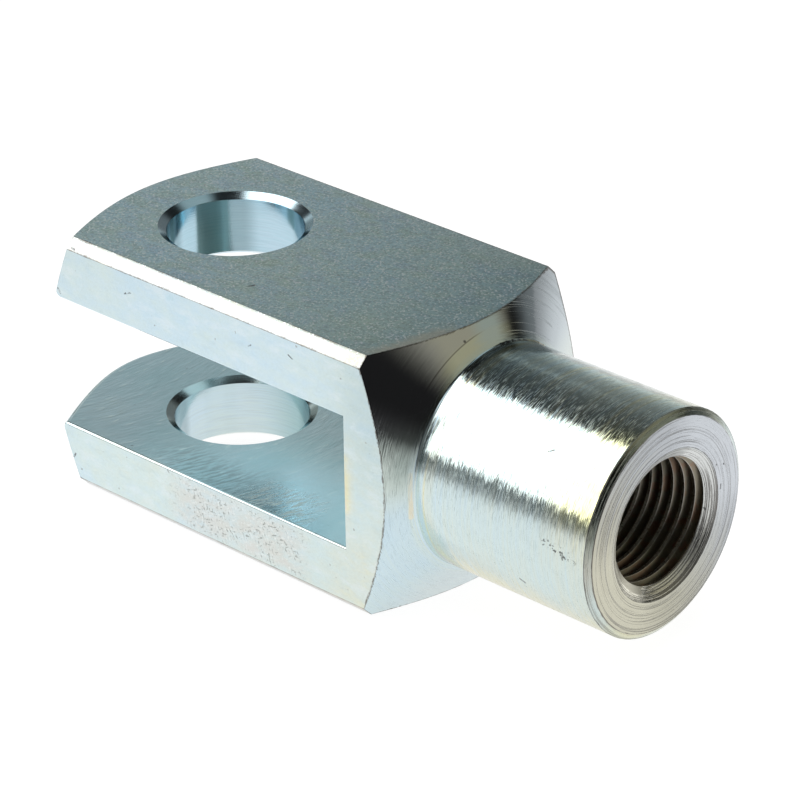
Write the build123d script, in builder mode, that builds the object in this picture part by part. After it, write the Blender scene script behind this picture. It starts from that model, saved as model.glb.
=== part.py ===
from build123d import *
import math
import os

os.makedirs("parts", exist_ok=True)

# A clevis rod end: a square fork on one end, a turned and tapped neck on the other, all one piece.
# Millimetres. The pin's axis is Z through the origin, and the rod screws in along X.

# driving sizes
bar_width = 32.0         # square bar, across its flats
slot_width = 16.2        # between the arms, loose on a 16 mm tongue
pin_diameter = 16.0      # cross hole through both arms
slot_depth = 31.8        # pin's axis to the slot's bottom
neck_end = 64.0          # pin's axis to the neck's end face
neck_diameter = 26.2     # turned neck
neck_length = 24.4       # end face back to the foot of the shoulder
tip_reach = 15.05        # pin's axis to the taper, at mid-width of the bar's faces
tip_angle = 32.4         # tip's taper, from square to the rod
shoulder_angle = 30.0    # shoulder's taper, likewise
thread_diameter = 16.0   # M16 x 1.5 fine thread
thread_pitch = 1.5

# edge treatment
long_edge = 1.15         # chamfer on the bar's four long edges
pin_edge = 0.95          # chamfer at all four rims of the cross hole, across
pin_edge_depth = 0.65    # and along the pin's axis
neck_edge = 0.8          # chamfer at the neck's end, across
neck_edge_depth = 0.55   # and along the rod
countersink = 0.75       # mouth of the tapped hole, past the thread's outside
countersink_depth = 0.9
shoulder_root = 0.4      # radius where the shoulder runs into the neck
tip_round = 0.7          # rounding of the arms' inner edges at the tip
slot_round = 0.35        # rounding of the arms' inner edges along the slot

# sizes that follow
half_bar = bar_width / 2
half_slot = slot_width / 2
pin_radius = pin_diameter / 2
neck_radius = neck_diameter / 2
tap_radius = (thread_diameter - 1.0825 * thread_pitch) / 2
mouth_radius = thread_diameter / 2 + countersink
bar_corner = half_bar * math.sqrt(2)
tip_slope = math.tan(math.radians(tip_angle))
shoulder_slope = math.tan(math.radians(shoulder_angle))
tip_middle = -tip_reach - tip_slope * half_bar
tip_corner = -tip_reach + tip_slope * (bar_corner - half_bar)
shoulder_foot = neck_end - neck_length
shoulder_corner = shoulder_foot - shoulder_slope * (bar_corner - neck_radius)

with BuildPart() as clevis_body:
    # square bar with its long edges broken
    with BuildSketch(Plane.YZ.offset(tip_middle)):
        Rectangle(bar_width, bar_width)
    extrude(amount=neck_end - tip_middle)
    chamfer(clevis_body.edges().filter_by(Axis.X), length=long_edge)

    # turned between centres: tapered tip, tapered shoulder, neck and its broken end edge
    with BuildSketch(Plane.XY) as turned_profile:
        with BuildLine():
            Polyline(
                (tip_middle, 0),
                (tip_corner, bar_corner),
                (shoulder_corner, bar_corner),
                (shoulder_foot, neck_radius),
                (neck_end - neck_edge_depth, neck_radius),
                (neck_end, neck_radius - neck_edge),
                (neck_end, 0),
                close=True,
            )
        make_face()
        root = turned_profile.vertices().sort_by_distance((shoulder_foot, neck_radius))[0]
        fillet(root, radius=shoulder_root)
    revolve(axis=Axis.X, mode=Mode.INTERSECT)

    # slot milled through from side to side, open at the tip
    with BuildSketch(Plane.XZ.offset(-half_bar)):
        with Locations((slot_depth, 0)):
            Rectangle(slot_depth - 2 * tip_middle, slot_width, align=(Align.MAX, Align.CENTER))
    extrude(amount=bar_width, mode=Mode.SUBTRACT)

    # hole for the thread, countersunk at the mouth and breaking into the slot's bottom
    with BuildSketch(Plane.XY):
        with BuildLine():
            Polyline(
                (slot_depth - half_slot, 0),
                (slot_depth - half_slot, tap_radius),
                (neck_end - countersink_depth, tap_radius),
                (neck_end, mouth_radius),
                (neck_end, 0),
                close=True,
            )
        make_face()
    revolve(axis=Axis.X, mode=Mode.SUBTRACT)

    # cross hole for the pin, with a chamfer at each of its four rims
    with BuildSketch(Plane.XZ):
        with BuildLine():
            Polyline(
                (0, half_bar),
                (pin_radius + pin_edge, half_bar),
                (pin_radius, half_bar - pin_edge_depth),
                (pin_radius, half_slot + pin_edge_depth),
                (pin_radius + pin_edge, half_slot),
                (pin_radius + pin_edge, -half_slot),
                (pin_radius, -half_slot - pin_edge_depth),
                (pin_radius, -half_bar + pin_edge_depth),
                (pin_radius + pin_edge, -half_bar),
                (0, -half_bar),
                close=True,
            )
        make_face()
    revolve(axis=Axis.Z, mode=Mode.SUBTRACT)

    # the arms' inner edges, rounded at the tip and lightly broken along the slot
    slot_reach = half_slot + slot_round
    cheeks = clevis_body.faces().filter_by(Axis.Z).filter_by_position(Axis.Z, -slot_reach, slot_reach)
    fillet(cheeks.edges().filter_by(GeomType.HYPERBOLA), radius=tip_round)
    sides = clevis_body.faces().filter_by(Axis.Y)
    rims = sides.edges().filter_by(GeomType.LINE).filter_by_position(Axis.Z, -slot_reach, slot_reach)
    fillet(rims, radius=slot_round)

clevis_body.part.label = "clevis_body"
export_step(clevis_body.part, "parts/clevis_body.step")
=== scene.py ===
import math
import bmesh
import bpy
import numpy as np
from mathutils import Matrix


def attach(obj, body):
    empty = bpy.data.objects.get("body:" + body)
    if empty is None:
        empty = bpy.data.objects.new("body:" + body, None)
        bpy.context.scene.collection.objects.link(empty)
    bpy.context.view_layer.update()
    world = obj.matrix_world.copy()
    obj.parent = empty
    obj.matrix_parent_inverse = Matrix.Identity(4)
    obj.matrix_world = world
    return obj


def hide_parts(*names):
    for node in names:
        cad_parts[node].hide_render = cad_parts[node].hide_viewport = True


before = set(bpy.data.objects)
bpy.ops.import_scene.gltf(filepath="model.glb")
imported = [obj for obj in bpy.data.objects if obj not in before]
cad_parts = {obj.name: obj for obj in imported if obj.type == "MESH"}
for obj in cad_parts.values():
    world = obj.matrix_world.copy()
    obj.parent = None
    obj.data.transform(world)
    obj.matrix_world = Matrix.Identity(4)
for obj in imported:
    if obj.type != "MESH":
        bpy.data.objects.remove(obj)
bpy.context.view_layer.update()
print("clevis: the frame is in")

mm = 0.001

fork = {                     # millimetres and degrees
    "halfBar": 16.0,
    "longEdge": 1.15,        # chamfer along the bar
    "halfSlot": 8.1,
    "slotBottom": 31.8,
    "pinRadius": 8.0,
    "pinEdge": (0.95, 0.65),     # chamfer round the pin's holes, across and along
    "tipAngle": 32.4,
    "tipReach": 15.05,
    "shoulderAngle": 30.0,
    "shoulderFoot": 39.6,    # where the shoulder meets the neck
    "rootRadius": 0.4,
    "neckRadius": 13.1,
    "neckEdge": (0.8, 0.55),     # chamfer at the neck's end, across and along
    "end": 64.0,
    "sink": (8.75, 0.9),     # the mouth's radius and depth
    "minorRadius": 7.188,    # the plain bore's
}

thread = {                   # millimetres, a right-hand M16 x 1.5
    "pitch": 1.5,
    "rootRadius": 8.0,
    "crestRadius": 7.21,     # just outside the plain bore it is cut in
    "crestShare": 0.25,      # of the pitch
    "rootShare": 0.125,
    "crestPlace": 61.9,      # a crest's middle at the +Y side
    "span": (30.4, 66.0),
    "steps": 96,             # per turn
    "flankFacing": 0.4,      # a facet that faces along the rod more than this is on a flank
}

facets = {                   # how the mesh's facets are matched to the true surfaces
    "near": 0.04,            # millimetres off, at most
    "sameWay": 4.0,          # degrees off, at most
    "smoothTurn": 26.0,      # degrees, past which the rim of a rounding stays sharp
    "merge": 1e-7,           # metres
    "mergeCut": 2e-7,        # the same once the thread is cut
}


def addObject(name, data):
    # a new object in the scene
    made = bpy.data.objects.new(name, data)
    bpy.context.scene.collection.objects.link(made)
    return made


def rework(mesh, *steps, source=None):
    # runs each step on the mesh's faces, or on a copy of another mesh's
    work = bmesh.new()
    work.from_mesh(source or mesh)
    for step in steps:
        step(work)
    work.to_mesh(mesh)
    work.free()


def readAll(items, name, width, kind):
    # one attribute of all the items as a flat array, width numbers to an item
    values = np.zeros(len(items) * width, kind)
    items.foreach_get(name, values)
    return values


def makeTap():
    # a screw-shaped plug: its radius follows the thread's profile, and a point climbs one pitch in a turn
    pitch, steps = thread["pitch"], thread["steps"]
    crest, root = thread["crestShare"] / 2, thread["rootShare"] / 2
    share = np.array([-crest, crest, 0.5 - root, 0.5 + root])
    radius = np.array([thread["crestRadius"]] * 2 + [thread["rootRadius"]] * 2)
    points = len(share)
    low, high = thread["span"]
    first = math.floor((low - thread["crestPlace"]) / pitch)
    turns = math.ceil((high - low) / pitch)
    turn = (np.arange((turns + 1) * steps + 1) / steps)[:, None]
    along = thread["crestPlace"] + pitch * (first + turn + share)
    angle = 2 * np.pi * turn + 0 * share
    reach = radius + 0 * turn
    place = np.stack([along, reach * np.cos(angle), reach * np.sin(angle)], axis=-1).reshape(-1, 3)
    # a turn's last point is followed by the next turn's first
    i, k = np.meshgrid(np.arange(turns * steps), np.arange(points), indexing="ij")
    inTurn = k + 1 < points
    after = np.where(inTurn, i * points + k + 1, (i + steps) * points)
    afterNext = np.where(inTurn, (i + 1) * points + k + 1, (i + 1 + steps) * points)
    quads = np.stack([i * points + k, (i + 1) * points + k, afterNext, after], axis=-1).reshape(-1, 4)
    # each end is closed by a fan round a hub on the axis
    rim = np.concatenate([np.arange(steps + 1) * points, np.arange(points - 1, 0, -1)])
    rims = (rim, rim + turns * steps * points)
    parts = [quads]
    for number, rim in enumerate(rims):
        parts.append(np.stack([rim, np.roll(rim, -1), np.full(len(rim), len(place) + number)], axis=-1))
    place = np.vstack([place, [[place[rim, 0].mean(), 0, 0] for rim in rims]])
    used = np.unique(np.concatenate([part.ravel() for part in parts]))
    renumber = np.zeros(len(place), int)
    renumber[used] = np.arange(len(used))
    mesh = bpy.data.meshes.new("threadTap")
    faces = [face for part in parts for face in renumber[part].tolist()]
    mesh.from_pydata((place[used] * mm).tolist(), [], faces)
    rework(mesh, lambda work: bmesh.ops.recalc_face_normals(work, faces=work.faces))
    mesh.materials.append(bpy.data.materials.new("cut"))
    return addObject("threadTap", mesh)


def cutThread():
    # a merged copy of the fork's mesh with the tap taken away; faces that the tap leaves keep its material
    mesh = bpy.data.meshes.new("clevisBody")
    rework(mesh, lambda work: bmesh.ops.remove_doubles(work, verts=work.verts, dist=facets["merge"]),
           source=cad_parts["clevis_body"].data)
    mesh.materials.clear()
    mesh.materials.append(bpy.data.materials.new("uncut"))
    body = addObject("clevisBody", mesh)
    tap = makeTap()
    boolean = body.modifiers.new("thread", "BOOLEAN")
    boolean.operation = "DIFFERENCE"
    boolean.solver = "EXACT"
    boolean.object = tap
    boolean.material_mode = "TRANSFER"
    bpy.context.view_layer.update()
    mesh = bpy.data.meshes.new_from_object(body.evaluated_get(bpy.context.evaluated_depsgraph_get()))
    body.modifiers.clear()
    bpy.data.objects.remove(tap)
    rework(mesh, lambda work: bmesh.ops.remove_doubles(work, verts=work.verts, dist=facets["mergeCut"]),
           lambda work: bmesh.ops.dissolve_degenerate(work, edges=work.edges, dist=facets["merge"]),
           lambda work: bmesh.ops.triangulate(work, faces=work.faces))
    body.data = mesh
    return body


def surfacesOfBody():
    # every true surface: a point on it, its outward direction there, its finish
    half, slot = fork["halfBar"], fork["halfSlot"]
    flats = [((fork["slotBottom"], 0, 0), (-1, 0, 0), "slot"), ((fork["end"], 0, 0), (1, 0, 0), "turned")]
    for sign in (-1, 1):
        flats.append(((0, sign * half, 0), (0, sign, 0), "side"))
        flats.append(((0, 0, sign * half), (0, 0, sign), "side"))
        flats.append(((0, 0, sign * slot), (0, 0, -sign), "slot"))
        for other in (-1, 1):
            flats.append(((0, sign * half, other * (half - fork["longEdge"])), (0, sign, other), "side"))
    tip, shoulder = math.radians(fork["tipAngle"]), math.radians(fork["shoulderAngle"])
    edge, sink = fork["neckEdge"], fork["sink"]
    # turned about the rod: x and radius, then the direction along and out
    turned = [
        ((-fork["tipReach"], half), (-math.cos(tip), math.sin(tip)), "turned"),
        ((fork["shoulderFoot"], fork["neckRadius"]), (math.cos(shoulder), math.sin(shoulder)), "turned"),
        ((fork["end"], fork["neckRadius"]), (0, 1), "turned"),
        ((fork["end"], fork["neckRadius"] - edge[0]), edge, "turned"),
        ((fork["end"], sink[0]), (sink[0] - fork["minorRadius"], -sink[1]), "turned"),
    ]
    # bored about the pin: z and radius, then the same
    bored = [((0, fork["pinRadius"]), (0, -1), "bore")]
    wide, deep = fork["pinEdge"]
    for sign in (-1, 1):
        bored.append(((sign * half, fork["pinRadius"] + wide), (sign * wide, -deep), "bore"))
        bored.append(((sign * slot, fork["pinRadius"] + wide), (-sign * wide, -deep), "bore"))
    return flats, turned, bored


def unit(vectors):
    # each vector brought to length 1
    return vectors / np.maximum(np.linalg.norm(vectors, axis=-1, keepdims=True), 1e-12)


def swungNormals(points, axis, line):
    # the line's own direction, swung round the axis to each point
    spokes = points.copy()
    spokes[..., axis] = 0
    normals = unit(spokes) * line[1]
    normals[..., axis] = line[0]
    return normals


def rootNormals(points):
    # the hollow ring between neck and shoulder: a normal points at the ring's centre line
    radius = fork["neckRadius"] + fork["rootRadius"]
    ring = unit(points * (0, 1, 1)) * radius + np.array([rootMiddle(), 0, 0])
    return unit(ring - points)


def rootMiddle():
    lean = math.radians(45 + fork["shoulderAngle"] / 2)
    return fork["shoulderFoot"] + fork["rootRadius"] / math.tan(lean)


def threadNormals(points, facing):
    # crests and roots face the rod's axis; a flank leans along it and climbs with the helix
    reach = np.linalg.norm(points[..., 1:], axis=-1, keepdims=True)
    outward = unit(points * (0, 1, 1))
    around = np.cross((1, 0, 0), outward)
    run = thread["pitch"] * (1 - thread["crestShare"] - thread["rootShare"]) / 2
    steep = (thread["rootRadius"] - thread["crestRadius"]) / run
    onFlank = np.abs(facing[:, 0]) > thread["flankFacing"]
    lean = (np.sign(facing[:, 0]) * onFlank * steep)[:, None, None]
    climb = lean * thread["pitch"] / (2 * np.pi) / reach
    return unit(lean * np.array([1, 0, 0]) - outward - around * climb)


def trueNormals(points, facing, fromTap):
    # points are the corners (face, 3, xyz) in millimetres; gives each corner's normal and each face's finish
    flats, turned, bored = surfacesOfBody()
    centres = points.mean(axis=1)
    normals = np.repeat(facing[:, None, :], 3, axis=1)
    finish = np.full(len(centres), "edge", dtype="<U8")
    near, sameWay = facets["near"], math.cos(math.radians(facets["sameWay"]))
    for place, way, name in flats:
        way = unit(np.array(way, float))
        hit = (np.abs((centres - place) @ way) < near) & (facing @ way > sameWay)
        normals[hit] = way
        finish[hit] = name
    for axis, lines in ((0, turned), (2, bored)):
        across = np.linalg.norm(np.delete(centres, axis, axis=1), axis=1)
        for (along, radius), line, name in lines:
            line = unit(np.array(line, float))
            exact = swungNormals(centres, axis, line)
            distance = (centres[:, axis] - along) * line[0] + (across - radius) * line[1]
            hit = (np.abs(distance) < near) & ((exact * facing).sum(1) > sameWay)
            normals[hit] = swungNormals(points[hit], axis, line)
            finish[hit] = name
    spokes, radius = np.linalg.norm(centres[:, 1:], axis=1), fork["neckRadius"] + fork["rootRadius"]
    gap = np.hypot(centres[:, 0] - rootMiddle(), spokes - radius) - fork["rootRadius"]
    hit = (np.abs(gap) < near) & (centres[:, 0] < rootMiddle()) & (spokes < radius) & (finish == "edge")
    normals[hit] = rootNormals(points[hit])
    finish[hit] = "turned"
    normals[fromTap] = threadNormals(points[fromTap], facing[fromTap])
    finish[fromTap] = "thread"
    return normals, finish


def roundNormals(corners, points, facing, normals, rounded):
    # small roundings: the mean of their own facets, or the neighbour's exact normal where they meet smoothly
    spread = np.cross(points[:, 1] - points[:, 0], points[:, 2] - points[:, 0])[rounded]
    wanted = corners[rounded].ravel()
    total = np.zeros((corners.max() + 1, 3))
    np.add.at(total, wanted, np.repeat(spread, 3, axis=0))
    best = unit(total)[wanted]
    facing = np.repeat(facing[rounded], 3, axis=0)
    # the exact normals that meet at each corner lie side by side once they are sorted by vertex
    order = np.argsort(corners[~rounded].ravel(), kind="stable")
    owner = corners[~rounded].ravel()[order]
    exact = normals[~rounded].reshape(-1, 3)[order]
    first = np.searchsorted(owner, wanted)
    count = np.searchsorted(owner, wanted, side="right") - first
    closest = np.full(len(wanted), math.cos(math.radians(facets["smoothTurn"])))
    for step in range(count.max()):
        other = exact[np.minimum(first + step, len(owner) - 1)]
        match = np.where(step < count, (other * facing).sum(axis=1), -1.0)
        better = match > closest
        closest[better] = match[better]
        best[better] = other[better]
    normals[rounded] = best.reshape(-1, 3, 3)


def makeBody():
    # the fork with its thread; every corner gets the true surface's normal, and every face its finish
    body = cutThread()
    mesh = body.data
    corners = readAll(mesh.loops, "vertex_index", 1, np.int64).reshape(-1, 3)
    points = (readAll(mesh.vertices, "co", 3, float).reshape(-1, 3) / mm)[corners]
    facing = unit(np.cross(points[:, 1] - points[:, 0], points[:, 2] - points[:, 0]))
    cutSlot = [material.name for material in mesh.materials].index("cut")
    fromTap = readAll(mesh.polygons, "material_index", 1, np.int32) == cutSlot
    normals, finish = trueNormals(points, facing, fromTap)
    roundNormals(corners, points, facing, normals, finish == "edge")
    mesh.polygons.foreach_set("use_smooth", np.ones(len(mesh.polygons), bool))
    mesh.normals_split_custom_set(normals.reshape(-1, 3).tolist())
    for name in ("side", "slot", "turned", "bore", "thread", "edge"):
        print("clevis:", name, int((finish == name).sum()), "faces")
    return body, finish


class Wire:
    # a socket that takes part in Python arithmetic: each operator adds its Math node
    def __init__(self, tree, socket):
        self.tree = tree
        self.socket = socket

    def math(self, operation, other=None, swapped=False):
        values = {0: self} if other is None else {0: other, 1: self} if swapped else {0: self, 1: other}
        return self.tree.node("Math", {"operation": operation}, values)

    def __add__(self, other):
        return self.math("ADD", other)

    def __radd__(self, other):
        return self.math("ADD", other)

    def __sub__(self, other):
        return self.math("SUBTRACT", other)

    def __rsub__(self, other):
        return self.math("SUBTRACT", other, True)

    def __mul__(self, other):
        return self.math("MULTIPLY", other)

    def __rmul__(self, other):
        return self.math("MULTIPLY", other)

    def __truediv__(self, other):
        return self.math("DIVIDE", other)

    def __rtruediv__(self, other):
        return self.math("DIVIDE", other, True)

    def __pow__(self, other):
        return self.math("POWER", other)

    def __abs__(self):
        return self.math("ABSOLUTE")


class Tree:
    # one material's nodes
    def __init__(self, owner):
        owner.use_nodes = True
        self.nodes = owner.node_tree.nodes
        self.links = owner.node_tree.links
        self.nodes.clear()

    def node(self, kind, settings=None, values=None, out=0):
        # settings first, then the values or links of its sockets
        made = self.nodes.new("ShaderNode" + kind)
        for name, value in (settings or {}).items():
            if name == "stops":
                ramp = made.color_ramp
                while len(ramp.elements) < len(value):
                    ramp.elements.new(0.5)
                for element, (place, colour) in zip(ramp.elements, value):
                    element.position = place
                    element.color = (*colour, 1)
            elif name == "ramp":
                made.color_ramp.interpolation = value
            else:
                setattr(made, name, value)
        for name, value in (values or {}).items():
            socket = made.inputs[name]
            if isinstance(value, Wire):
                self.links.new(value.socket, socket)
            elif socket.type == "RGBA" and len(value) == 3:
                socket.default_value = (*value, 1)
            else:
                socket.default_value = value
        return Wire(self, made.outputs[out]) if len(made.outputs) else None

    def smooth(self, value, low, high):
        # 0 below low and 1 above high, eased between; the other way round where low is above high
        eased = self.node("MapRange", {"interpolation_type": "SMOOTHSTEP"},
                          {0: value, 1: min(low, high), 2: max(low, high), 3: 0.0, 4: 1.0})
        return eased if low < high else 1 - eased

    def least(self, first, *others):
        for other in others:
            first = first.math("MINIMUM", other)
        return first

    def most(self, first, *others):
        for other in others:
            first = first.math("MAXIMUM", other)
        return first

    def blend(self, share, below, above, how="MIX"):
        return self.node("Mix", {"data_type": "RGBA", "blend_type": how, "clamp_factor": True},
                         {0: share, 6: below, 7: above}, out=2)

    def cover(self, colour, share, tone):
        # a share of a tone laid over a colour
        return self.blend(share, colour, tone)

    def shade(self, colour, share, tone):
        # a colour multiplied by a share of a tone
        return self.blend(share, colour, tone, "MULTIPLY")

    def vector(self, operation, first, second=None, scale=None, out=0):
        values = {0: first}
        if second is not None:
            values[1] = second
        if scale is not None:
            values["Scale"] = scale
        return self.node("VectorMath", {"operation": operation}, values, out=out)

    def combine(self, x, y, z):
        return self.node("CombineXYZ", None, {0: x, 1: y, 2: z})

    def parts(self, vector):
        outs = self.node("SeparateXYZ", None, {0: vector}).socket.node.outputs
        return [Wire(self, outs[k]) for k in range(3)]

    def bearing(self, x, y, middle):
        # degrees between a direction and a middle one, seen along Z
        turn = math.radians(middle)
        ahead = x * math.cos(turn) + y * math.sin(turn)
        aside = y * math.cos(turn) - x * math.sin(turn)
        return abs(aside.math("ARCTAN2", ahead)) * math.degrees(1)

    def noise(self, where, scale, detail=2.0, rough=0.5, w=None, many=False):
        # one noise, or three independent ones
        settings = {"noise_dimensions": "3D" if w is None else "4D"}
        values = {"Vector": where, "Scale": scale, "Detail": detail, "Roughness": rough}
        if w is not None:
            values["W"] = w
        made = self.node("TexNoise", settings, values, out=1 if many else 0)
        return self.parts(made) if many else made


class Spot:
    # a material's point on the fork, in millimetres, and how far it is from the fork's surfaces
    def __init__(self, tree, places=None):
        self.tree = tree
        self.places = places
        self.place = tree.vector("SCALE", tree.node("TexCoord", out="Object"), scale=1 / mm)
        self.x, self.y, self.z = tree.parts(self.place)
        self.radius = (self.y * self.y + self.z * self.z) ** 0.5            # from the rod's axis
        self.pinRadius = (self.x * self.x + self.y * self.y) ** 0.5         # from the pin's axis
        half = fork["halfBar"]
        self.toSide = half - abs(self.y)
        self.toTop = half - abs(self.z)
        self.toLong = (2 * half - fork["longEdge"] - abs(self.y) - abs(self.z)) * math.sqrt(0.5)
        shoulder, tip = math.radians(fork["shoulderAngle"]), math.radians(fork["tipAngle"])
        self.toShoulder = ((fork["shoulderFoot"] - self.x) * math.cos(shoulder)
                           + (fork["neckRadius"] - self.radius) * math.sin(shoulder))
        self.toTip = (self.x + fork["tipReach"]) * math.cos(tip) + (half - self.radius) * math.sin(tip)

    def within(self, value, low, high, soft=None):
        # 1 past high and 0 before low; with a softness, 1 between them and 0 on both sides
        if soft is None:
            return self.tree.smooth(value, low, high)
        above = self.tree.smooth(value, low - soft, low + soft)
        return above * self.tree.smooth(value, high + soft, high - soft)

    def at(self, name):
        # 1 in a named place, which is within each of its spans: (direction, from, to, softness or none)
        shares = [self.within(getattr(self, way), *span) for way, *span in self.places[name]]
        return math.prod(shares[1:], start=shares[0])

    def round(self, along, reach):
        # distance from a circle round the rod's axis
        return ((self.x - along) ** 2.0 + (self.radius - reach) ** 2.0) ** 0.5

    def stroke(self, start, end, width):
        # 1 along a short straight mark
        tree = self.tree
        start, run = np.array(start, float), np.array(end, float) - np.array(start, float)
        away = tree.vector("SUBTRACT", self.place, tuple(start))
        share = tree.vector("DOT_PRODUCT", away, tuple(run / max(run @ run, 1e-9)), out="Value")
        foot = tree.vector("SCALE", tuple(run), scale=tree.least(tree.most(share, 0.0), 1.0))
        gap = tree.vector("DISTANCE", away, foot, out="Value")
        return tree.smooth(gap, width, width * 0.4)

    def strokes(self, marks):
        return self.tree.most(*[self.stroke(*mark) for mark in marks])


film = {                     # the passivated zinc's interference colours, from a thin film to a thick one
    "colours": [(0.00, (0.53, 0.76, 0.84)), (0.22, (0.66, 0.82, 0.91)), (0.42, (0.72, 0.84, 0.83)),
                (0.56, (0.76, 0.83, 0.76)), (0.72, (0.87, 0.85, 0.60)), (0.86, (0.83, 0.72, 0.71)),
                (1.00, (0.71, 0.72, 0.85))],
    "patches": 0.09,         # per millimetre
    "unevenness": 0.5,
}


def filmColour(tree, spot, thickness, seed):
    # the film's thickness, 0 to 1, drifts about a middle value, and its colour with it
    drift = tree.noise(spot.place, film["patches"], 3.0, 0.55, w=seed)
    return tree.node("ValToRGB", {"ramp": "LINEAR", "stops": film["colours"]},
                     {0: (drift - 0.5) * film["unevenness"] + thickness})


def finishSteel(tree, colour, rough, height, normal=None, metallic=1.0):
    # height is in millimetres
    values = {"Strength": 1.0, "Distance": mm, "Height": height}
    if normal is not None:
        values["Normal"] = normal
    bump = tree.node("Bump", None, values)
    shader = tree.node("BsdfPrincipled", None,
                       {"Base Color": colour, "Metallic": metallic, "Roughness": rough, "Normal": bump})
    tree.node("OutputMaterial", None, {"Surface": shader})


drawn = {                    # the bar's own faces; lengths are in millimetres
    "film": (0.29, 0.31),    # thickness on the sides, and on the top and bottom
    "filmBelow": 0.13,       # more of it on the sides' lower half
    "filmRoot": 0.10,        # and towards the shoulder
    "filmBesideSlot": 0.36,  # and in a spot beside the slot's bottom
    "grain": 3.6,            # per millimetre
    "grainHeight": (0.002, 0.011),   # on the sides, and on the top and bottom
    "roughness": (0.20, 0.34, 0.14), # sides, top and bottom, long chamfers
    "worn": 0.09,            # width of the rubbed edges
    "burr": 0.18,            # and of the burr along the shoulder
    "places": {              # direction, from and to; with a softness the place lies between them
        "low": [("z", 4.0, -9.0)],
        "overBottom": [("z", -15.0, -13.0)],
        "pastHole": [("x", -8.0, 4.0)],
        "root": [("x", 27.0, 34.0)],
        "tip": [("x", -12.0, -20.0)],
        "far": [("y", 11.0, 15.0)],
        "smoke": [("x", 27.0, 36.0), ("z", -6.0, 8.0)],
        "olive": [("x", 5.0, 30.0)],
        "rubbed": [("x", 5.0, 25.0, 2.5), ("z", -14.5, -8.6, 0.9)],     # on the lower arm
        "stain": [("y", -14.5, -4.0, 2.0)],  # along the shoulder's edge on top
    },
    "tones": {
        "matt": (0.87, 0.92, 0.91),          # top and bottom
        "paleTop": (0.72, 0.84, 0.86),       # towards the tip and one side
        "longEdge": (0.75, 0.62, 0.57),
        # painted shade on the sides towards the shoulder
        "smoke": (0.60, 0.66, 0.68),         # towards the shoulder
        "olive": (0.90, 0.90, 0.80),
        "grain": (0.50, 0.51, 0.51),
        # pale flecks: painted glints
        "fleck": (0.95, 1.0, 1.0),
        "veilTop": (0.92, 0.91, 1.0),
        "veilPale": (0.86, 0.93, 0.97),
        "veilDark": (0.70, 0.74, 0.74),
        "rubbed": (0.74, 0.72, 0.68),
        "paleScratch": (0.90, 0.94, 0.92),
        "darkScratch": (0.30, 0.33, 0.31),
        "pit": (0.25, 0.24, 0.22),
        "mark": (0.13, 0.13, 0.14),
        "stain": (0.66, 0.61, 0.50),
        "worn": (0.16, 0.14, 0.12),
    },
    "marks": [               # dents and specks: from, to, width
        ((-1.9, -16, 12.2), (-0.9, -16, 12.6), 0.14),
        ((17.8, -16, 12.1), (18.2, -16, 12.3), 0.10),
        ((23.9, -16, 13.0), (24.5, -16, 12.7), 0.09),
        ((-13.2, -16, 9.3), (-12.8, -16, 8.8), 0.16),
        ((13.1, -11.05, 16), (13.35, -10.4, 16), 0.22),
        ((21.7, -10.6, 16), (21.8, -10.4, 16), 0.12),
        ((-10.6, -15.8, 15.1), (-10.2, -15.8, 15.0), 0.18),
        ((-12.1, -16, -12.3), (-11.8, -16, -11.8), 0.16),
    ],
}


class BarSpot(Spot):
    # also how much a point is on each of the bar's faces, and the noises laid over them
    def __init__(self, tree):
        super().__init__(tree, drawn["places"])
        half = fork["halfBar"]
        self.up = tree.smooth(abs(self.z), half - 0.3, half - 0.05)          # on the top or bottom
        self.front = tree.smooth(self.y, 0.2 - half, 0.05 - half)            # on the -Y side
        self.chamfer = tree.smooth(self.toLong, 0.1, 0.04)                   # on a long chamfer
        fine = tree.noise(self.place, drawn["grain"], 1.5, 0.5, w=1.0, many=True)
        self.grain, self.fleck, self.blotch = fine
        stretched = tree.combine(self.x * 0.3, self.y * 0.5, self.z * 0.6)
        self.slow, self.cluster, self.veil = tree.noise(stretched, 1.0, 4.0, 0.62, w=2.0, many=True)


def barFilm(tree, bar):
    # thicker low on the sides, towards the shoulder, and beside the slot's bottom, where it is straw and pink
    sideFilm, topFilm = drawn["film"]
    below = bar.at("low") * (1 - bar.up) * (0.3 + bar.at("pastHole") * 0.7) * drawn["filmBelow"]
    thickness = sideFilm + bar.up * (topFilm - sideFilm) + below
    thickness = thickness + (bar.slow - 0.5) * 0.45 + (bar.fleck - 0.5) * bar.up * 0.25
    thickness = thickness + bar.at("root") * (1 - bar.up) * drawn["filmRoot"]
    bottom = fork["slotBottom"]
    beside = (tree.smooth(bar.x, bottom + 2.1, bottom)
              * bar.within(bar.z + (bar.veil - 0.5) * 8.0, -4.0, 4.0, 3.0) * bar.front)
    return filmColour(tree, bar, thickness + beside * drawn["filmBesideSlot"], 3.0)


def barTones(tree, bar, colour):
    # broad differences between the faces, and along them
    tones = drawn["tones"]
    pale = tree.most(bar.at("tip") * 0.4, bar.at("far") * 0.5)
    olive = tree.most(tree.smooth(bar.slow, 0.44, 0.62) * 0.55, bar.at("olive") * 0.45)
    edge = bar.chamfer * (0.7 + tree.smooth(bar.grain, 0.40, 0.60) * 0.3)
    colour = tree.shade(colour, bar.up, tones["matt"])
    colour = tree.cover(colour, pale * bar.up, tones["paleTop"])
    colour = tree.shade(colour, edge, tones["longEdge"])
    # painted shade: the sides darkened towards the shoulder
    colour = tree.shade(colour, bar.at("smoke") * 0.35, tones["smoke"])
    return tree.shade(colour, olive * bar.up, tones["olive"])


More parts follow.
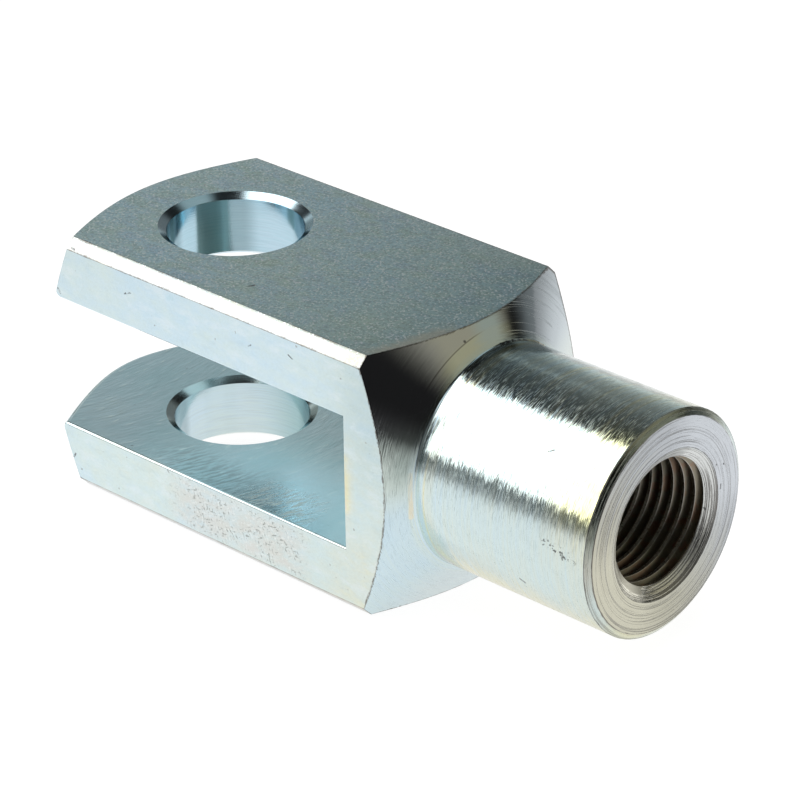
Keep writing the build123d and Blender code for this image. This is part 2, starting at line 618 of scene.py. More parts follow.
def barGrain(tree, bar, colour):
    # dark grain and pale flecks, the flecks a painted glint, strongest on the top and bottom, under a slow
    # veil
    tones = drawn["tones"]
    colour = tree.shade(colour, tree.smooth(bar.grain, 0.54, 0.40) * (0.05 + bar.up * 0.40), tones["grain"])
    # pale flecks: painted glints, strongest on the top and bottom
    colour = tree.cover(colour, tree.smooth(bar.fleck, 0.56, 0.62) * (0.05 + bar.up * 0.70), tones["fleck"])
    colour = tree.shade(colour, tree.smooth(bar.veil, 0.50, 0.62) * bar.up * 0.5, tones["veilTop"])
    colour = tree.cover(colour, tree.smooth(bar.veil, 0.50, 0.66) * (1 - bar.up) * 0.30, tones["veilPale"])
    return tree.shade(colour, tree.smooth(bar.veil, 0.46, 0.32) * (1 - bar.up) * 0.16, tones["veilDark"])


def barScratches(tree, bar):
    # two fans of scratches, one flat and one steep
    flat = tree.combine(bar.x * 1.1 + bar.z * 0.7, bar.y, bar.z * 3.4 - bar.x * 1.3)
    steep = tree.combine(bar.x * 3.6 + bar.z * 1.2, bar.y, bar.z * 1.3 - bar.x * 0.5)
    return tree.most(tree.noise(flat, 1.0, 2.0, 0.5, w=6.0), tree.noise(steep, 1.0, 2.0, 0.5, w=7.0))


def barDamage(tree, bar, colour, patch, scratches, marks):
    # a rubbed place with many small scratches, then pits and dents
    tones = drawn["tones"]
    colour = tree.cover(colour, patch * (0.25 + tree.smooth(bar.slow, 0.38, 0.60) * 0.4), tones["rubbed"])
    colour = tree.cover(colour, patch * tree.smooth(scratches, 0.49, 0.43) * 0.5, tones["paleScratch"])
    dark = patch * tree.smooth(scratches, 0.58, 0.66) * tree.smooth(bar.cluster, 0.42, 0.54) * 0.85
    colour = tree.cover(colour, dark, tones["darkScratch"])
    pits = tree.noise(bar.place, 1.7, 1.0, 0.5, w=8.0)
    colour = tree.cover(colour, tree.smooth(pits, 0.74, 0.79) * 0.5, tones["pit"])
    return tree.cover(colour, marks * tree.smooth(bar.grain, 0.38, 0.54) * 0.85, tones["mark"])


def barEdges(tree, bar, colour):
    # rubbed edges, and a stain and a burr along the shoulder
    tones = drawn["tones"]
    second = tree.least(tree.most(bar.toSide, bar.toTop), bar.toLong)
    depth = tree.least(tree.most(tree.least(bar.toSide, bar.toTop), second), bar.toTip)
    ragged = (bar.blotch - 0.5) * 0.14 + (bar.slow - 0.5) * 0.4
    worn = tree.smooth(depth + ragged, drawn["worn"], drawn["worn"] * 0.3)
    patchy = ((0.3 + tree.smooth(bar.cluster, 0.42, 0.58) * 0.45)
              * (0.65 + tree.smooth(bar.grain, 0.40, 0.58) * 0.35))
    worn = worn * patchy * (0.75 + bar.at("overBottom") * 0.25)
    colour = tree.cover(colour, worn, tones["worn"])
    stained = bar.at("stain") * tree.smooth(bar.toShoulder + (bar.cluster - 0.5) * 3.0, 2.2, 0.3) * bar.up
    colour = tree.cover(colour, stained * 0.7, tones["stain"])
    ragged = bar.toShoulder + (bar.blotch - 0.5) * 0.3 + (bar.slow - 0.5) * 0.4
    burr = tree.smooth(ragged, drawn["burr"], drawn["burr"] * 0.3)
    return tree.cover(colour, burr * (0.35 + tree.smooth(bar.grain, 0.44, 0.56) * 0.5), tones["worn"])


def drawnFlats():
    # the bar's own faces: a fine matt grain, small dents and rubbed edges
    material = bpy.data.materials.new("zincDrawnFlats")
    tree = Tree(material)
    bar = BarSpot(tree)
    patch = bar.at("rubbed") * bar.front
    scratches = barScratches(tree, bar)
    marks = bar.strokes(drawn["marks"])
    colour = barTones(tree, bar, barFilm(tree, bar))
    colour = barDamage(tree, bar, barGrain(tree, bar, colour), patch, scratches, marks)
    colour = barEdges(tree, bar, colour)
    plain, matt, bright = drawn["roughness"]
    rough = plain + bar.up * (matt - plain) + bar.chamfer * (bright - plain) + (bar.grain - 0.5) * 0.08
    low, high = drawn["grainHeight"]
    height = bar.grain * (low + bar.up * (high - low)) + bar.slow * 0.004
    height = height - scratches * patch * 0.03 - marks * 0.02
    finishSteel(tree, colour, rough, height)
    return material


milled = {                   # the slot's faces
    "lines": 2.6,            # across the cutter's path, per millimetre
    "lineHeight": 0.010,     # millimetres
    "lineBend": 0.012,       # how much the cutter's path is bowed
    "film": 0.14,
    "roughness": (0.15, 0.14),   # plain, and more in the lines
    "places": {              # direction, from and to; with a softness the place lies between them
        "bottom": [("x", -8.0, 16.0)],
        "paler": [("y", -8.0, -13.0), ("x", 15.0, 24.0, 3.0)],
        "darker": [("y", -8.0, -13.0), ("x", 1.0, 15.0, 4.0)],
    },
    "tones": {
        "tip": (0.84, 0.86, 0.84),
        "bottom": (0.97, 0.97, 0.92),
        # a painted highlight in the lines near the side
        "paleLine": (0.92, 1.0, 0.97),
        "darkLine": (0.55, 0.50, 0.48),
        "streak": (0.85, 0.97, 0.95),
        "pit": (0.2, 0.2, 0.2),
    },
}


def slotMilled():
    # the slot's faces: fine lines left across it by the cutter
    material = bpy.data.materials.new("zincMilledSlot")
    tree = Tree(material)
    spot = Spot(tree, milled["places"])
    tones = milled["tones"]
    bend = spot.x + spot.y * spot.y * milled["lineBend"]
    fine = tree.combine(bend * milled["lines"], spot.y * 0.45, spot.z * 2.6)
    lines, tint, gloss = tree.noise(fine, 1.0, 2.5, 0.6, w=4.0, many=True)
    streak = tree.noise(tree.combine(bend * 0.9, spot.y * 0.3, spot.z * 0.5), 1.0, 3.0, 0.6, w=5.0)
    colour = filmColour(tree, spot, milled["film"] + (tint - 0.5) * 0.25, 5.0)
    colour = tree.shade(colour, 1.0, tree.cover(tones["tip"], spot.at("bottom"), tones["bottom"]))
    # near the side: paler lines, a painted highlight, and darker ones towards the tip
    paler = spot.at("paler") * tree.smooth(lines, 0.46, 0.60)
    darker = spot.at("darker") * tree.smooth(lines, 0.56, 0.44)
    colour = tree.cover(colour, paler, tones["paleLine"])
    colour = tree.shade(colour, darker * 0.6, tones["darkLine"])
    bright = tree.smooth(streak, 0.56, 0.72) * tree.smooth(lines, 0.45, 0.6) * 0.8
    colour = tree.cover(colour, bright, tones["streak"])
    pits = tree.smooth(tree.noise(spot.place, 1.5, 1.0, 0.5, w=8.0), 0.76, 0.80)
    colour = tree.cover(colour, pits * 0.5, tones["pit"])
    plain, more = milled["roughness"]
    rough = plain + gloss * more + paler * 0.25
    finishSteel(tree, colour, rough, lines * milled["lineHeight"] + streak * 0.02)
    return material


lathe = {                    # everything turned about the rod's axis; lengths are in millimetres
    "hairs": 18.0,           # per millimetre across them
    "hairTurn": 10.5,        # how soon a hair ends, round the rod
    "hairTilt": (0.30, 0.12),    # along and across the hairs
    "rings": 2.4,            # per millimetre
    "film": (0.42, 0.28),    # thickness on the neck, and on the shoulder
    "roughness": (0.07, 0.07, 0.34),   # plain, between hairs, in the brightest hairs
    "mouthDull": 0.6,        # less metallic low in the thread's mouth
    "toolRing": 14.95,       # radius of a single dark line on the shoulder
    "worn": 0.09,            # width of the rubbed edges
    "strawEnd": (56.0, 63.5),    # where the neck turns straw: x from and to
    "places": {              # direction, from and to; with a softness the place lies between them
        "under": [("z", -4.5, -10.0)],
        "straw": [("z", 0.0, 10.5, 4.0)],
        "border": [("z", 4.6, 9.4, 1.6)],
        "upperBorder": [("z", 11.3, 12.3, 0.6)],
        "high": [("z", 8.0, 11.0)],
        "higher": [("z", 9.0, 12.0)],
        "rootward": [("x", 43.5, 40.8)],
        "smoke": [("x", 53.0, 42.0), ("z", 11.6, 12.7)],
        "pale": [("y", 2.8, 5.5), ("z", 9.0, 10.5)],
        "shoulderHigh": [("z", -3.0, 2.0)],
        "shoulderShade": [("z", 1.5, 6.0, 2.5), ("radius", 16.3, 14.6), ("y", 0.0, -2.0)],
        "shoulderTop": [("z", 6.0, 10.0)],
        "toolRing": [("z", 10.5, 12.5), ("y", 0.0, -3.0)],
        "arcs": [("z", 8.0, 11.0), ("y", 1.0, 3.5)],
        "edgeFront": [("aroundY", -0.5, -0.9), ("aroundZ", -0.5, 0.0)],
        "mouthLow": [("aroundZ", -0.2, -0.9), ("aroundY", 0.05, 0.5)],
        "far": [("y", 12.0, 15.0)],
    },
    "bands": {               # across the shoulder's top: y from and to, and softness
        "skyBlue": (-1.6, 2.4, 1.4),
        "slate": (3.0, 6.5),
        "lilac": (-6.0, -9.0),
    },
    "tones": {
        "straw": (1.0, 0.96, 0.42),
        "strawStreak": (0.95, 0.79, 0.52),
        "smoke": (0.56, 0.60, 0.60),         # on top of the neck, near the shoulder
        "paleTop": (0.96, 1.0, 0.97),        # and beyond it
        "shoulderHigh": (0.74, 0.84, 0.79),
        "shoulderLow": (0.74, 0.79, 0.78),
        # painted shade beside the neck
        "shoulderShade": (0.70, 0.73, 0.73), # beside the neck
        "khaki": (0.82, 0.84, 0.70),         # on the shoulder's top, by the neck
        "taupe": (0.73, 0.74, 0.70),         # outside the dark ring
        "skyBlue": (0.69, 0.83, 0.90),
        "slate": (0.69, 0.76, 0.80),
        "lilac": (0.77, 0.79, 0.83),
        "endLow": (0.76, 0.74, 0.60),
        "endHigh": (0.75, 0.79, 0.84),
        "sinkLow": (1.0, 0.97, 0.82),
        "sinkHigh": (0.84, 0.86, 0.85),
        "edgeTop": (0.58, 0.53, 0.44),
        "edgeFront": (0.90, 0.79, 0.72),
        "darkHair": (0.40, 0.41, 0.40),
        "bow": (0.40, 0.40, 0.40),
        "toolLine": (0.20, 0.19, 0.18),
        "toolRing": (0.20, 0.18, 0.16),
        "dot": (0.08, 0.08, 0.08),
    },
    "streak": ((39.3, -13.45, 2.6), (39.3, -13.3, -2.6), 0.42),    # marks: from, to, width
    "scuff": ((58.1, -13.0, 1.3), (61.9, -13.0, 0.5), 0.75),
    "dots": [
        ((38.42, -3.54, 14.72), (38.45, -3.5, 14.7), 0.22),
        ((64, 8.3, 4.0), (64, 8.35, 3.9), 0.12),
        ((64, 9.56, 3.6), (64, 9.6, 3.5), 0.14),
        ((64, 9.2, 1.2), (64, 9.15, 0.7), 0.14),
        ((63.3, 7.2, -1.1), (63.3, 7.5, -1.4), 0.16),
        ((60.5, -13.05, 0.3), (60.6, -13.05, 0.1), 0.16),
        ((53.8, -11.9, -5.2), (54.4, -11.9, -5.6), 0.20),
        ((55.2, -9.1, 9.4), (55.8, -8.8, 9.7), 0.14),
    ],
}


class TurnedSpot(Spot):
    # also how much a point is on each turned surface, and the noises that run round the rod
    def __init__(self, tree):
        super().__init__(tree, lathe["places"])
        x, radius, foot, end, sink = self.x, self.radius, fork["shoulderFoot"], fork["end"], fork["sink"][0]
        broken, rim = end - fork["neckEdge"][1], fork["neckRadius"] - fork["neckEdge"][0]
        self.neck = tree.smooth(x, foot + 0.6, foot + 1.2) * tree.smooth(x, broken + 0.01, broken - 0.05)
        self.face = tree.smooth(x, end - 0.07, end - 0.01)
        self.chamfer = (tree.smooth(x, broken - 0.03, broken + 0.03)
                        * tree.smooth(radius, rim - 0.05, rim + 0.05))
        self.sink = tree.smooth(radius, sink + 0.05, sink - 0.05) * tree.smooth(x, end - 4.0, end - 3.0)
        self.shoulder = tree.smooth(x, foot, foot - 0.6)
        self.root = tree.smooth(abs(x - (foot + fork["rootRadius"])), 1.6, 0.4)
        rims = ((broken, fork["neckRadius"]), (end, rim), (end, sink))
        self.toRim = tree.least(*[self.round(*ring) for ring in rims])
        self.aroundY, self.aroundZ = self.y / radius, self.z / radius
        hairs, turn, rings = lathe["hairs"], lathe["hairTurn"], lathe["rings"]
        place = tree.combine(x * hairs, self.aroundY * turn, self.aroundZ * turn)
        hair = tree.noise(place, 1.0, 1.0, 0.5, w=radius * hairs, many=True)
        self.tiltAlong, self.tiltAcross, self.gloss = hair
        place = tree.combine(x * rings, self.aroundY * 0.5, self.aroundZ * 0.5)
        broad = tree.noise(place, 1.0, 3.0, 0.6, w=radius * rings, many=True)
        self.rings, self.tint, self.chatter = broad
        self.endward = tree.smooth(x + (self.chatter - 0.5) * 8.0, *lathe["strawEnd"]) * self.neck
        # the mouth's lower right, and how much the hairs show: on the shoulder only low down
        self.lower = tree.smooth(self.aroundY * 0.75 - self.aroundZ * 0.65, 0.1, 0.8)
        brushed = self.shoulder * tree.smooth(self.z - (radius - 15.0) * 1.2, 7.0, 3.0)
        self.lively = (1 - self.shoulder * 0.92 + brushed * 0.88 - self.face * 0.4
                       - self.root * 0.5 * (1 - self.shoulder))


def neckPlating(tree, on):
    # thicker towards the neck's end, its underside and its root, thin on the shoulder
    onNeck, onShoulder = lathe["film"]
    under = on.at("under") * (on.neck + on.chamfer)
    straw = on.endward * (on.at("straw") * 0.16 + 0.05)
    thickness = onNeck + straw + under * 0.26 + on.at("higher") * on.neck * 0.05
    thickness = thickness + on.at("rootward") * on.neck * 0.14
    uneven = 0.45 + on.root * 1.5 + on.at("high") * 0.5
    thickness = thickness + (on.tint - 0.5) * uneven
    thickness = thickness + (onShoulder + (on.tint - 0.5) * 0.2 - thickness) * on.shoulder
    return filmColour(tree, on, thickness, 7.0)


def neckTones(tree, on, colour):
    # straw borders towards the end, darker on top near the shoulder and paler beyond
    tones = lathe["tones"]
    border = on.at("border") + on.at("upperBorder") * 0.7
    streak = on.stroke(*lathe["streak"]) * tree.smooth(on.tiltAcross, 0.3, 0.55) * 0.62
    colour = tree.cover(colour, border * on.endward * on.neck * 0.8, tones["straw"])
    colour = tree.cover(colour, streak, tones["strawStreak"])
    colour = tree.shade(colour, on.at("smoke") * on.neck * 0.9, tones["smoke"])
    return tree.cover(colour, on.at("pale") * on.neck * 0.5, tones["paleTop"])


def shoulderTones(tree, on, colour):
    # beside the neck greener high up, paler low down and darkened by painted shade; bands of their own across
    # the top
    tones = lathe["tones"]
    low = tree.smooth(on.z - on.y, 1.0, -7.0) * on.shoulder * 0.6
    colour = tree.cover(colour, on.at("shoulderHigh") * on.shoulder, tones["shoulderHigh"])
    colour = tree.cover(colour, low, tones["shoulderLow"])
    # painted shade beside the neck, low on the shoulder
    beside = on.at("shoulderShade") * on.shoulder
    colour = tree.shade(colour, beside * (0.5 + on.tiltAcross), tones["shoulderShade"])
    ring, across, bands = lathe["toolRing"], on.y + (on.chatter - 0.5) * 2.5, lathe["bands"]
    outer = tree.smooth(on.radius + (on.chatter - 0.5) * 0.6, ring - 0.25, ring + 0.25)
    top = tree.cover(tones["khaki"], outer, tones["taupe"])
    top = tree.cover(top, on.within(across, *bands["skyBlue"]) * (0.75 + outer * 0.2), tones["skyBlue"])
    top = tree.cover(top, on.within(across, *bands["slate"]), tones["slate"])
    top = tree.cover(top, on.within(across, *bands["lilac"]), tones["lilac"])
    return tree.cover(colour, on.at("shoulderTop") * on.shoulder, top)


def endTones(tree, on, colour):
    # the end's face and mouth: khaki low, grey high; its broken edge is brown on top and at the front
    tones = lathe["tones"]
    high = tree.smooth(on.y * 0.7 + on.z * 0.7 + (on.chatter - 0.5) * 14.0, -9.0, 7.0)
    offFace = 1 - on.face
    colour = tree.cover(colour, on.face, tree.cover(tones["endLow"], high, tones["endHigh"]))
    colour = tree.cover(colour, on.sink * offFace, tree.cover(tones["sinkLow"], high, tones["sinkHigh"]))
    onTop = on.chamfer * offFace * tree.smooth(on.z - on.y * 0.3, 3.0, 8.0)
    colour = tree.shade(colour, onTop * (0.75 + on.tint * 0.4), tones["edgeTop"])
    front = on.chamfer * offFace * on.at("edgeFront")
    colour = tree.shade(colour, front * (1 - onTop), tones["edgeFront"])
    hair = tree.smooth(on.tiltAlong, 0.46, 0.30) * (0.10 + onTop * 0.5) * offFace * (1 - on.shoulder)
    return tree.shade(colour, hair, tones["darkHair"])


def endLines(tree, on):
    # tool lines round the end and in the mouth, widest in two bows on the end and at the mouth's lower right
    place = tree.combine(on.aroundY * 0.25, on.aroundZ * 0.25, on.x * 3.0)
    groove = tree.noise(place, 1.0, 2.0, 0.55, w=on.radius * 3.2)
    bow = tree.smooth(abs(on.aroundZ * 0.82 - on.aroundY * 0.57), 0.45, 0.95)
    width = on.sink * on.lower * 0.045 + bow * on.face * 0.016
    lines = (tree.smooth(abs(groove - 0.5) - width, 0.032, 0.006)
             * tree.smooth(on.chatter + on.sink * on.lower * 0.2, 0.36, 0.52))
    return lines, bow


def turnedMarks(tree, on, colour, lines, bow):
    # the end's tool lines, one dark ring on the shoulder's top, small dark marks and rubbed edges
    tones = lathe["tones"]
    colour = tree.shade(colour, bow * on.face * 0.36, tones["bow"])
    colour = tree.cover(colour, lines * (0.55 + on.sink * on.lower * 0.3), tones["toolLine"])
    offRing = abs(on.radius - lathe["toolRing"]) + (on.tint - 0.5) * 0.1
    single = tree.smooth(offRing, 0.10, 0.03) * on.shoulder * on.at("toolRing")
    colour = tree.cover(colour, single * 0.6, tones["toolRing"])
    dots = on.strokes(lathe["dots"]) * tree.smooth(on.tiltAcross, 0.32, 0.44)
    scuff = on.stroke(*lathe["scuff"]) * tree.smooth(tree.noise(on.place, 2.4, 2.0, 0.6, w=9.0), 0.52, 0.60)
    colour = tree.cover(colour, tree.most(dots, scuff) * 0.85, tones["dot"])
    bar = tree.least(on.toSide, on.toTop, on.toLong)
    ragged = tree.least(bar * 0.8, on.toRim * 1.6) + (on.tiltAlong - 0.5) * 0.4 + (on.chatter - 0.5) * 0.2
    far = on.at("far") * 0.15 + tree.smooth(on.aroundY, -0.5, -0.9) * on.chamfer * 0.10
    worn = tree.smooth(ragged - far, lathe["worn"], lathe["worn"] / 3) * 0.75
    return tree.cover(colour, worn, drawn["tones"]["worn"])


def hairNormal(tree, on):
    # each hair leans its own way, along it and across it
    around = tree.combine(0.0, -1 * on.z, on.y)
    toWorld = {"vector_type": "VECTOR", "convert_from": "OBJECT", "convert_to": "WORLD"}
    around = tree.vector("NORMALIZE", tree.node("VectorTransform", toWorld, {0: around}))
    upright = tree.node("NewGeometry", out="Normal")
    across = tree.vector("CROSS_PRODUCT", around, upright)
    along, over = lathe["hairTilt"]
    lean = tree.vector("ADD", tree.vector("SCALE", around, scale=(on.tiltAlong - 0.5) * on.lively * along),
                       tree.vector("SCALE", across, scale=(on.tiltAcross - 0.5) * on.lively * over))
    return tree.vector("NORMALIZE", tree.vector("ADD", upright, lean))


def turnedRoughness(tree, on):
    # some hairs are rougher than others; so are the mouth's upper left and long arcs on the shoulder's top
    place = tree.combine(on.aroundY * 0.4, on.aroundZ * 0.4, 0.0)
    arcs = tree.noise(place, 1.0, 2.0, 0.5, w=on.radius * 2.6)
    arcs = tree.smooth(abs(arcs - 0.5), 0.022, 0.006) * on.shoulder * on.at("arcs")
    plain, more, most = lathe["roughness"]
    hairs = tree.smooth(on.gloss, 0.3, 0.6) * more + tree.smooth(on.gloss, 0.55, 0.66) * most
    mouth = on.sink * (0.05 + tree.smooth(on.aroundZ - on.aroundY, 0.2, 0.9) * 0.4)
    return plain + hairs * on.lively + on.face * 0.08 + mouth + arcs * 0.3


def turnedZinc():
    # everything a lathe cut: fine hairs run round the rod's axis
    material = bpy.data.materials.new("zincTurned")
    tree = Tree(material)
    on = TurnedSpot(tree)
    lines, bow = endLines(tree, on)
    lines = lines * tree.most(on.face, on.sink, on.chamfer)
    colour = neckTones(tree, on, neckPlating(tree, on))
    colour = endTones(tree, on, shoulderTones(tree, on, colour))
    colour = turnedMarks(tree, on, colour, lines, bow)
    height = on.rings * (0.006 + tree.most(on.face, on.sink) * 0.014) - lines * 0.02
    metallic = 1 - on.sink * on.at("mouthLow") * lathe["mouthDull"]
    finishSteel(tree, colour, turnedRoughness(tree, on), height, hairNormal(tree, on), metallic)
    return material


bored = {                    # the pin's holes
    "lines": 8.0,            # per millimetre along the pin
    "film": (0.04, 0.27, 0.1),   # thickness, more of it in the lower arm, and more on the chamfers
    "roughness": (0.09, 0.12),   # plain, and more in the lines
    "tone": (0.91, 0.91, 0.94),
    "lineTone": (0.55, 0.58, 0.62),
    # painted shade in strips along the pin: bearing from, to; softness; tone; added roughness; shares in
    # upper and lower arm
    "paintedShadeStrips": [
        ((44, 72), 10, (0.36, 0.46, 0.49), 0.0, (1.0, 0.9)),
        ((30, 100), 35, (0.55, 0.70, 0.69), 0.0, (0.0, 1.0)),
        ((122, 150), 8, (0.68, 0.70, 0.69), 0.0, (1.0, 0.1)),
        ((141, 148), 3, (0.86, 0.90, 0.84), 0.2, (1.0, 0.1)),
        ((147.5, 170), 2.2, (0.78, 0.83, 0.77), 0.28, (1.0, 0.1)),
        ((150, 171), 3, (0.76, 0.76, 0.73), 0.0, (1.0, 0.0)),
        ((190, 222), 5, (0.62, 0.66, 0.66), 0.0, (1.0, 0.8)),
    ],
}


def boredZinc():
    # the pin's holes: lines run round the pin's axis, with painted shade in strips along it
    material = bpy.data.materials.new("zincBored")
    tree = Tree(material)
    spot = Spot(tree)
    radius = spot.pinRadius
    place = tree.combine(spot.x / radius * 1.6, spot.y / radius * 1.6, spot.z * bored["lines"])
    lines, tint, gloss = tree.noise(place, 1.0, 3.0, 0.6, w=radius, many=True)
    edge = tree.smooth(radius, fork["pinRadius"] + 0.02, fork["pinRadius"] + 0.06)
    wall = 1 - edge
    lower = tree.smooth(spot.z, 1.0, -1.0)
    base, below, onEdge = bored["film"]
    colour = filmColour(tree, spot, base + lower * below + edge * onEdge + (tint - 0.5) * 0.25, 9.0)
    colour = tree.shade(colour, wall * (1 - lower * 0.6), bored["tone"])
    colour = tree.shade(colour, tree.smooth(lines, 0.52, 0.40) * wall * 0.14, bored["lineTone"])
    plain, more = bored["roughness"]
    rough = plain + gloss * more
    # painted shade: darker strips along the pin, some also rougher
    for (start, stop), soft, tone, rougher, (inUpper, inLower) in bored["paintedShadeStrips"]:
        half = (stop - start) / 2
        paintedShade = tree.smooth(tree.bearing(spot.x, spot.y, (start + stop) / 2), half + soft, half - soft)
        paintedShade = paintedShade * wall * (lower * (inLower - inUpper) + inUpper)
        colour = tree.shade(colour, paintedShade, tone)
        rough = rough + paintedShade * rougher
    finishSteel(tree, colour, rough, lines * 0.004)
    return material


tapped = {                   # the thread, which gets little plating
    "flank": (0.34, 0.31, 0.24),
    "rust": (0.36, 0.25, 0.18),
    # lighter crests: a painted highlight
    "crest": (0.64, 0.61, 0.55),
    "crestWidth": (0.10, 0.01),  # from the crest's radius outwards, millimetres
    "zinc": (0.80, 0.77, 0.64),
    "platedFrom": (62.5, 63.1),  # x, millimetres
}


def tappedThread():
    # dark flanks, lighter crests that are a painted highlight, and zinc again at the mouth
    material = bpy.data.materials.new("steelThread")
    tree = Tree(material)
    spot = Spot(tree)
    low, high = tapped["crestWidth"]
    crest = tree.smooth(spot.radius, thread["crestRadius"] + low, thread["crestRadius"] + high)
    grain = tree.noise(spot.place, 4.0, 2.0, 0.5)
    rust = tree.noise(spot.place, 0.5, 3.0, 0.6, w=3.0)
    colour = tree.cover(tapped["flank"], tree.smooth(rust, 0.48, 0.62), tapped["rust"])
    # painted highlight along the crests
    colour = tree.cover(colour, crest * tree.smooth(grain, 0.25, 0.5), tapped["crest"])
    plated = tree.smooth(spot.x + (grain - 0.5) * 0.6, *tapped["platedFrom"])
    colour = tree.cover(colour, plated, tapped["zinc"])
    finishSteel(tree, colour, 0.25 + grain * 0.15, grain * 0.004)
    return material


body, finish = makeBody()
materials = {"side": drawnFlats(), "slot": slotMilled(), "turned": turnedZinc(), "bore": boredZinc(),
             "thread": tappedThread()}
body.data.materials.clear()
for material in materials.values():
    body.data.materials.append(material)
# the small roundings look like the bar's own faces
slots = [list(materials).index("side" if name == "edge" else name) for name in finish]
body.data.polygons.foreach_set("material_index", slots)
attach(body, "root")
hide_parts("clevis_body")
print("clevis: body dressed")

studio = {                   # metres and degrees
    "floorReach": 3.0,
    "floorColour": (0.2, 0.2, 0.2),
    "shadowShare": 0.07,     # of the floor's white near the fork: what comes from the lamp, so can be shaded
    "metalWhite": 0.84,      # what metal gets near the fork
    "sheetReach": (0.18, 0.21, 0.22),   # where it sees less floor: past the neck's end, all round, sideways
    "sheetFall": (1.8, 3.0, 1.6),       # and how steeply it falls off there
    "sheetWays": ((0.85, -0.55, 0), (-0.98, 0.2, 0)),   # past the neck's end, and behind the tip
    "sheetLeast": 0.05,
    "lampPlace": (0.02, 0, 0.45),
    "lampSize": 0.5,
    "lampPower": 1.0,
    "dark": (0.012, 0.012, 0.012),
    "wallTone": (0.93, 1.02, 1.02),
    "wallFade": (11.0, 0.62, 0.183, 0.0025),   # degrees for the fading share, that share, the rest, its slope
    "wallLeast": 0.02,
    "wallPatch": ((-0.86, -0.96), (-1.9, -1.4), (15.0, 21.0), (35.0, 29.0), 2.3),   # x/y, elevation, more
    # light cards round the fork: azimuth from, to; elevation from, to; softness of each; light
    "cards": [
        ((104, 190), (-8, 62), (12, 6), "wall"),
        ((66, 119), (-4, 27), (6, 5), (0.14, 0.15, 0.15)),
        ((60, 100), (-8, 2), (6, 4), (0.19, 0.20, 0.20)),
        ((-24, 10), (-6, 1), (6, 5), (0.04, 0.04, 0.04)),
        ((162, 170), (15, 23), (2, 2), (0.60, 0.64, 0.64)),
        ((150, 172), (-8, 13), (3, 2), (0.20, 0.23, 0.23)),
        ((-180, -121), (-3, 10), (2, 2), (0.18, 0.19, 0.19)),
        ((-180, -121), (10.6, 84), (1.2, 2.2), (2.2, 2.2, 2.15)),
        ((167, 187), (20, 43), (1.5, 3), (0.02, 0.02, 0.02)),
        ((22, 55), (-3, 11.5), (4, 2), (0.30, 0.29, 0.24)),
        ((12.5, 60), (12, 50), (10, 3), (0.33, 0.325, 0.265)),
        ((40, 88), (47, 73), (4, 5), (0.34, 0.40, 0.40)),
        ((-114, -28), (-8, 34), (5, 6), (0.11, 0.115, 0.115)),
        ((-76, -30), (42, 75), (6, 6), (0.9, 0.92, 0.95)),
    ],
}


def sheetLight(tree, here, near):
    # how white metal sees the floor: it fades past the neck's end, less so behind the tip and to both sides
    (ahead, _, sideways), (aheadFall, _, sideFall) = studio["sheetReach"], studio["sheetFall"]
    aheadWay, behindWay = studio["sheetWays"]
    beyond = tree.most(tree.vector("DOT_PRODUCT", here, aheadWay, out="Value"), 0.0)
    lit = near / (1 + (beyond / ahead) ** aheadFall)
    x, y, _ = tree.parts(here)
    aside = 0.35 + 0.65 / (1 + (tree.vector("LENGTH", here, out="Value") / sideways) ** sideFall)
    wedge = abs(x) * 0.6
    aside = aside * (tree.smooth(y - wedge, 0.03, 0.12) + tree.smooth(y + wedge, -0.05, -0.2) * 0.62)
    behind = tree.smooth(tree.vector("DOT_PRODUCT", here, behindWay, out="Value"), 0.05, 0.4) * 0.65
    return tree.most(lit, aside, behind, studio["sheetLeast"])


def whitePaper():
    # white to the camera apart from the fork's shadow, and a sheet of light to metal
    material = bpy.data.materials.new("whitePaper")
    tree = Tree(material)
    rays = tree.node("LightPath").socket.node.outputs
    metal = tree.most(Wire(tree, rays["Is Glossy Ray"]), Wire(tree, rays["Is Transmission Ray"]))
    here = tree.node("TexCoord", out="Object")
    around, fall = studio["sheetReach"][1], studio["sheetFall"][1]
    near = 1 / (1 + (tree.vector("LENGTH", here, out="Value") / around) ** fall)
    strength = (Wire(tree, rays["Is Camera Ray"]) * (1 - near * studio["shadowShare"])
                + metal * sheetLight(tree, here, near) * studio["metalWhite"])
    colour = tree.vector("SCALE", studio["floorColour"], scale=near)
    glow = tree.combine(strength, strength, strength)
    sheet = tree.node("BsdfPrincipled", None,
                      {"Base Color": colour, "Roughness": 1.0, "Specular IOR Level": 0.0,
                       "Emission Color": glow, "Emission Strength": 1.0})
    tree.node("OutputMaterial", None, {"Surface": sheet})
    return material


def layFloor():
    # a flat square under the fork
    reach, low = studio["floorReach"], -fork["halfBar"] * mm
    corners = [(x * reach, y * reach, low) for x, y in ((-1, -1), (1, -1), (1, 1), (-1, 1))]
    mesh = bpy.data.meshes.new("floor")
    mesh.from_pydata(corners, [], [(0, 1, 2, 3)])
    mesh.materials.append(whitePaper())
    return addObject("floor", mesh)


def hangLamp():
    # straight above, and out of sight to metal
    data = bpy.data.lights.new("overhead", "AREA")
    data.size = studio["lampSize"]
    data.energy = studio["lampPower"]
    lamp = addObject("overhead", data)
    lamp.location = studio["lampPlace"]
    lamp.visible_glossy = False


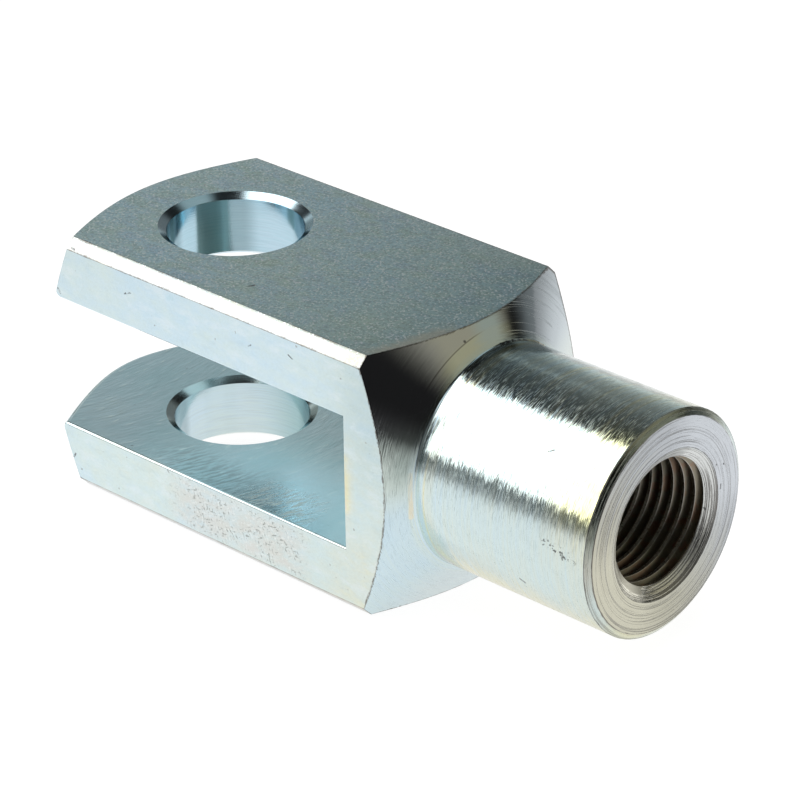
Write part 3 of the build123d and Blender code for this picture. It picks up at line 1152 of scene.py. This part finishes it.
def wallLight(tree, x, y, elevation):
    # the wall beyond the tip darkens upwards, with one brighter patch
    degrees, share, left, less = studio["wallFade"]
    fade = (elevation / -degrees).math("EXPONENT") * share + left - elevation * less
    fromSide, toSide, fromLow, toHigh, more = studio["wallPatch"]
    patch = (tree.smooth(x / y, *fromSide) * tree.smooth(x / y, *toSide)
             * tree.smooth(elevation, *fromLow) * tree.smooth(elevation, *toHigh))
    fade = tree.most(fade * (1 + patch * more), studio["wallLeast"])
    return tree.vector("SCALE", studio["wallTone"], scale=fade)


def hangCards():
    # the world: white to the camera, dark with light cards to the fork
    world = bpy.data.worlds.new("studio")
    bpy.context.scene.world = world
    tree = Tree(world)
    x, y, z = tree.parts(tree.node("TexCoord", out="Generated"))
    elevation = z.math("ARCSINE") * math.degrees(1)
    wall = wallLight(tree, x, y, elevation)
    sky = studio["dark"]
    for (azLow, azHigh), (elLow, elHigh), (azSoft, elSoft), light in studio["cards"]:
        spread = (azHigh - azLow) / 2
        bearing = tree.bearing(x, y, (azLow + azHigh) / 2)
        inside = (tree.smooth(bearing, spread + azSoft, spread - azSoft)
                  * tree.smooth(elevation, elLow - elSoft, elLow + elSoft)
                  * tree.smooth(elevation, elHigh + elSoft, elHigh - elSoft))
        sky = tree.cover(sky, inside, wall if light == "wall" else light)
    seen = Wire(tree, tree.node("LightPath").socket.node.outputs["Is Camera Ray"])
    sky = tree.cover(sky, seen, (1.0, 1.0, 1.0))
    background = tree.node("Background", None, {"Color": sky, "Strength": 1.0})
    tree.node("OutputWorld", None, {"Surface": background})


floor = layFloor()
hangLamp()
hangCards()

camera = {
    "place": (0.274958, -0.267075, 0.190681),   # metres
    "turn": (62.66892, 0.66745, 42.70546),      # degrees
    "lens": 164.6907,
    "sensor": 36.0,
    "nearest": 0.01,
}


def placeCamera():
    data = bpy.data.cameras.new("camera")
    data.lens = camera["lens"]
    data.sensor_width = camera["sensor"]
    data.clip_start = camera["nearest"]
    view = addObject("camera", data)
    view.location = camera["place"]
    view.rotation_euler = [math.radians(angle) for angle in camera["turn"]]
    bpy.context.scene.camera = view


placeCamera()
bpy.context.scene.view_settings.view_transform = "Standard"
print("clevis: studio ready")
